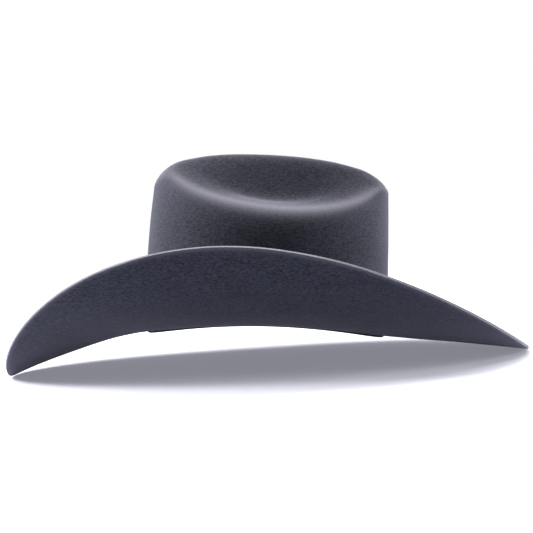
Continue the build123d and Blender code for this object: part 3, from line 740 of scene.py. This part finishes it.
# insets and heights in mm; gathers and puckers are waves, given by how many go round
liner = {
    "inset": 2.8, "low": 30.0, "high": 72.9, "thickness": 0.25, "sideGrid": (720, 30), "tipGrid": (240, 24),
    "gather": 1.5, "gatherStart": 48.0, "gatherTop": 68.0, "gatherHeld": 0.75, "pleats": (61, 89, 34),
    "topInset": 2.85, "tipHeight": 73.2, "billow": 1.6, "pucker": 0.28, "puckers": ((70, 1.0), (43, 0.6)),
    "colour": "#666a73", "light": "#80848e", "roughness": 0.36,
    "thread": 0.7, "float": 2.5,             # a thread's width, and how many times that its floats are long
    "drift": 14.0, "driftShare": 0.35, "weaveDepth": 0.06,
    "sideSize": (560.0, 43.0), "tipSize": (190.0, 190.0),
}


def placeLinerSide(around, up):
    angle = 2 * math.pi * around
    height = liner["low"] + (liner["high"] - liner["low"]) * up
    start, full = liner["gatherStart"], liner["gatherTop"]
    rise = min(max((height - start) / (full - start), 0.0), 1.0)
    fall = 1 - liner["gatherHeld"] * min(max((height - full) / (liner["high"] - full), 0.0), 1.0)
    wave = sum(math.sin(count * angle + count) for count in liner["pleats"]) / len(liner["pleats"])
    fold = liner["gather"] * rise ** 1.5 * fall * (0.5 + 0.5 * wave)
    return wallAt(angle, height, liner["inset"] + max(fold, 0.0), follow=False)


def placeLinerTip(around, out):
    angle = 2 * math.pi * around
    rimX, rimY, height = wallAt(angle, liner["tipHeight"], liner["topInset"], follow=False)
    centre = sum(wallAt(end, height, 0.0, follow=False)[0] for end in (0.0, math.pi)) / 2
    wave = 1 + sum(share * math.sin(count * angle) for count, share in liner["puckers"])
    lift = liner["billow"] * (1 - out ** 2) + liner["pucker"] * out ** 8 * wave
    return centre + (rimX - centre) * out, rimY * out, height + lift * (1 - out ** 30)


def makeSatin(name, length, height):
    # acetate satin: long floats of warp thread, smooth and glossy along one way, with faint cross lines
    material, tree = newMaterial(name)
    place = addNode(tree, "ShaderNodeTexCoord")
    floats = liner["float"] * liner["thread"]
    counted = addNode(tree, "ShaderNodeMapping",
                      values={"Scale": (length / liner["thread"], height / floats, 1.0)},
                      links={"Vector": place.outputs["UV"]})
    weave = addNode(tree, "ShaderNodeTexBrick",
                    values={"Scale": 1.0, "Brick Width": 1.0, "Row Height": 0.5,
                            "Mortar Size": 0.06, "Mortar Smooth": 0.6, "Mortar": (0.25, 0.25, 0.25, 1),
                            "Color1": (1, 1, 1, 1), "Color2": (0.72, 0.72, 0.72, 1)},
                    links={"Vector": counted.outputs[0]})
    drift = addNode(tree, "ShaderNodeTexNoise", values={"Scale": 1 / (liner["drift"] * mm), "Detail": 2.0},
                    links={"Vector": place.outputs["Object"]})
    tone = addNode(tree, "ShaderNodeMix", {"data_type": "FLOAT"}, values={"Factor": liner["driftShare"]},
                   links={"A": weave.outputs["Color"], "B": drift.outputs["Fac"]})
    colour = addNode(tree, "ShaderNodeMix", {"data_type": "RGBA"},
                     values={"A": toLinear(liner["colour"]), "B": toLinear(liner["light"])},
                     links={"Factor": tone.outputs[0]})
    bump = addNode(tree, "ShaderNodeBump", values={"Strength": 0.2, "Distance": liner["weaveDepth"] * mm},
                   links={"Height": weave.outputs["Color"]})
    satin = addNode(tree, "ShaderNodeBsdfPrincipled",
                    values={"Roughness": liner["roughness"], "Anisotropic": 0.5, "Sheen Weight": 0.25,
                            "Specular IOR Level": 0.6},
                    links={"Base Color": colour.outputs["Result"], "Normal": bump.outputs[0]})
    addNode(tree, "ShaderNodeOutputMaterial", links={"Surface": satin.outputs[0]})
    return material


linerSide = makeCloth("linerSide", *liner["sideGrid"], placeLinerSide, weld=True)
linerTip = makeCloth("linerTip", *liner["tipGrid"], placeLinerTip, weld=True)
for satinPiece in (linerSide, linerTip):
    addModifier(satinPiece, "SOLIDIFY", thickness=liner["thickness"] * mm, offset=0.0)
finishPiece(linerSide, makeSatin("acetateSatinSide", *liner["sideSize"]), "satin", "liner_side")
finishPiece(linerTip, makeSatin("acetateSatinTip", *liner["tipSize"]), "satin", "liner_tip")

cord = {
    "inset": 4.3, "height": 72.0, "radius": 0.9, "core": 0.74,      # core is its share between two plies
    "turns": 150, "columns": 1500, "sides": 12,
    "colour": "#4b4e56", "light": "#70747e", "roughness": 0.4,
    "filaments": (9, 3.0), "filamentScale": 0.6, "filamentTurn": 0.3, "filamentDepth": 0.05,
}


def placePiping(around, side):
    angle, turn = 2 * math.pi * around, 2 * math.pi * side
    ply = abs(math.cos(turn - cord["turns"] * angle)) ** 0.7
    radius = cord["radius"] * (cord["core"] + (1 - cord["core"]) * ply)
    height = cord["height"] + radius * math.sin(turn)
    return wallAt(angle, height, cord["inset"] + radius * math.cos(turn), follow=False)


def makeCordRayon():
    # twisted rayon cord: two glossy plies of fine filament
    material, tree = newMaterial("twistedRayonCord")
    along, across = cord["filaments"]
    place = addNode(tree, "ShaderNodeTexCoord")
    counted = addNode(tree, "ShaderNodeMapping",
                      values={"Scale": (cord["turns"] * along, across, 1.0),
                              "Rotation": (0, 0, cord["filamentTurn"])},
                      links={"Vector": place.outputs["UV"]})
    filament = addNode(tree, "ShaderNodeTexWave",
                       values={"Scale": cord["filamentScale"], "Distortion": 0.8},
                       links={"Vector": counted.outputs[0]})
    colour = addNode(tree, "ShaderNodeMix", {"data_type": "RGBA"},
                     values={"A": toLinear(cord["colour"]), "B": toLinear(cord["light"])},
                     links={"Factor": filament.outputs["Fac"]})
    bump = addNode(tree, "ShaderNodeBump", values={"Strength": 0.3, "Distance": cord["filamentDepth"] * mm},
                   links={"Height": filament.outputs["Fac"]})
    rayon = addNode(tree, "ShaderNodeBsdfPrincipled",
                    values={"Roughness": cord["roughness"], "Sheen Weight": 0.3},
                    links={"Base Color": colour.outputs["Result"], "Normal": bump.outputs[0]})
    addNode(tree, "ShaderNodeOutputMaterial", links={"Surface": rayon.outputs[0]})
    return material


twistedPiping = makeCloth("twistedPiping", cord["columns"], cord["sides"], placePiping, weld=True)
finishPiece(twistedPiping, makeCordRayon(), "piping_cord", "liner_piping")

film = {"colour": "#8f9299", "alpha": 0.14, "ior": 1.45, "roughness": (0.04, 0.16),
        "wave": 12.0, "waveDepth": 0.6}      # mm


def makeClearFilm():
    # calendered clear vinyl: a thin glossy film that lies in faint waves over the satin
    material, tree = newMaterial("clearVinylFilm")
    place = addNode(tree, "ShaderNodeTexCoord")
    wave = addNode(tree, "ShaderNodeTexNoise", values={"Scale": 1 / (film["wave"] * mm), "Detail": 1.5},
                   links={"Vector": place.outputs["Object"]})
    bump = addNode(tree, "ShaderNodeBump", values={"Strength": 0.5, "Distance": film["waveDepth"] * mm},
                   links={"Height": wave.outputs["Fac"]})
    rough = addNode(tree, "ShaderNodeMapRange",
                    values={"To Min": film["roughness"][0], "To Max": film["roughness"][1]},
                    links={"Value": wave.outputs["Fac"]})
    vinyl = addNode(tree, "ShaderNodeBsdfPrincipled",
                    values={"Base Color": toLinear(film["colour"]), "IOR": film["ior"],
                            "Alpha": film["alpha"]},
                    links={"Normal": bump.outputs[0], "Roughness": rough.outputs[0]})
    addNode(tree, "ShaderNodeOutputMaterial", links={"Surface": vinyl.outputs[0]})
    return material


dress("tip_shield", makeClearFilm())
dress("shield_stitches", makeThread("cream"))
print("liner made")


bow = {
    "knotPlace": (-93.1, 0.0, 3.0), "knotSize": (1.5, 1.2, 2.9), "knotGrid": (32, 20),
    "knotRidges": 7, "ridgeShare": 0.05, "loopGrid": (48, 8), "thickness": 0.3,
    "loop": 11.0, "depth": 3.6, "neck": 0.75, "width": 5.0, "pinch": 0.4, "droop": 0.5,
    "colour": "#1d1c1f", "light": "#47444a", "roughness": 0.55,
    "length": 24.0, "rib": 0.55, "ribDepth": 0.1,
}


def makeGrosgrain():
    # rayon grosgrain ribbon: heavy cross ribs with a dull gloss on their crests
    material, tree = newMaterial("rayonGrosgrain")
    place = addNode(tree, "ShaderNodeTexCoord")
    counted = addNode(tree, "ShaderNodeMapping", values={"Scale": (bow["length"] / bow["rib"], 1.0, 1.0)},
                      links={"Vector": place.outputs["UV"]})
    ribs = addNode(tree, "ShaderNodeTexWave", values={"Scale": waveUnit, "Distortion": 0.1},
                   links={"Vector": counted.outputs[0]})
    colour = addNode(tree, "ShaderNodeMix", {"data_type": "RGBA"},
                     values={"A": toLinear(bow["colour"]), "B": toLinear(bow["light"])},
                     links={"Factor": ribs.outputs["Fac"]})
    bump = addNode(tree, "ShaderNodeBump", values={"Strength": 0.7, "Distance": bow["ribDepth"] * mm},
                   links={"Height": ribs.outputs["Fac"]})
    ribbon = addNode(tree, "ShaderNodeBsdfPrincipled",
                     values={"Roughness": bow["roughness"], "Sheen Weight": 0.3},
                     links={"Base Color": colour.outputs["Result"], "Normal": bump.outputs[0]})
    addNode(tree, "ShaderNodeOutputMaterial", links={"Surface": ribbon.outputs[0]})
    return material


def loopPlace(side):
    def place(around, up):
        turn = 2 * math.pi * around
        out = 0.5 - 0.5 * math.cos(turn)                  # 0 at the knot, 1 at the far end of the loop
        width = bow["width"] * (1 - bow["pinch"] * (1 - out) ** 2)
        x, y, z = bow["knotPlace"]
        y += side * (bow["knotSize"][1] + bow["loop"] * out)
        x += bow["depth"] / 2 * math.sin(turn) * (bow["neck"] + (1 - bow["neck"]) * out)
        return x, y, z + width * (up - 0.5) - bow["droop"] * out ** 2
    return place


def placeKnot(around, up):
    turn = 2 * math.pi * around
    x, y, z = bow["knotPlace"]
    deep, wide, high = bow["knotSize"]
    full = max(1 - abs(2 * up - 1) ** 4, 0.0) ** 0.5
    full *= 1 + bow["ridgeShare"] * math.sin(2 * bow["knotRidges"] * math.pi * up)
    return x + deep * full * math.cos(turn), y + wide * full * math.sin(turn), z + high * (2 * up - 1)


grosgrain = makeGrosgrain()
loops = [makeCloth(f"bowLoop{side}", *bow["loopGrid"], loopPlace(side), weld=True) for side in (-1, 1)]
for loop in loops:
    addModifier(loop, "SOLIDIFY", thickness=bow["thickness"] * mm, offset=0.0)
pickOnly(*loops)
bpy.ops.object.join()
ribbonBow = bpy.context.object
ribbonBow.name = "ribbonBow"
finishPiece(ribbonBow, grosgrain, "ribbon", "bow_ribbon")
ribbonKnot = makeCloth("ribbonKnot", *bow["knotGrid"], placeKnot, weld=True)
finishPiece(ribbonKnot, grosgrain, "ribbon", "bow_knot")

ticket = {"colour": "#cfc8b4", "light": "#e9e4d6", "fibre": 0.6, "fibreDepth": 0.05, "roughness": 0.8}


def makeTicketCard():
    # uncoated card: off-white, faintly mottled fibre
    material, tree = newMaterial("uncoatedCard")
    place = addNode(tree, "ShaderNodeTexCoord")
    fibre = addNode(tree, "ShaderNodeTexNoise", values={"Scale": 1 / (ticket["fibre"] * mm), "Detail": 4.0},
                    links={"Vector": place.outputs["Object"]})
    colour = addNode(tree, "ShaderNodeMix", {"data_type": "RGBA"},
                     values={"A": toLinear(ticket["colour"]), "B": toLinear(ticket["light"])},
                     links={"Factor": fibre.outputs["Fac"]})
    bump = addNode(tree, "ShaderNodeBump", values={"Strength": 0.2, "Distance": ticket["fibreDepth"] * mm},
                   links={"Height": fibre.outputs["Fac"]})
    card = addNode(tree, "ShaderNodeBsdfPrincipled", values={"Roughness": ticket["roughness"]},
                   links={"Base Color": colour.outputs["Result"], "Normal": bump.outputs[0]})
    addNode(tree, "ShaderNodeOutputMaterial", links={"Surface": card.outputs[0]})
    return material


dress("size_tag", makeTicketCard())
print("bow and ticket made")
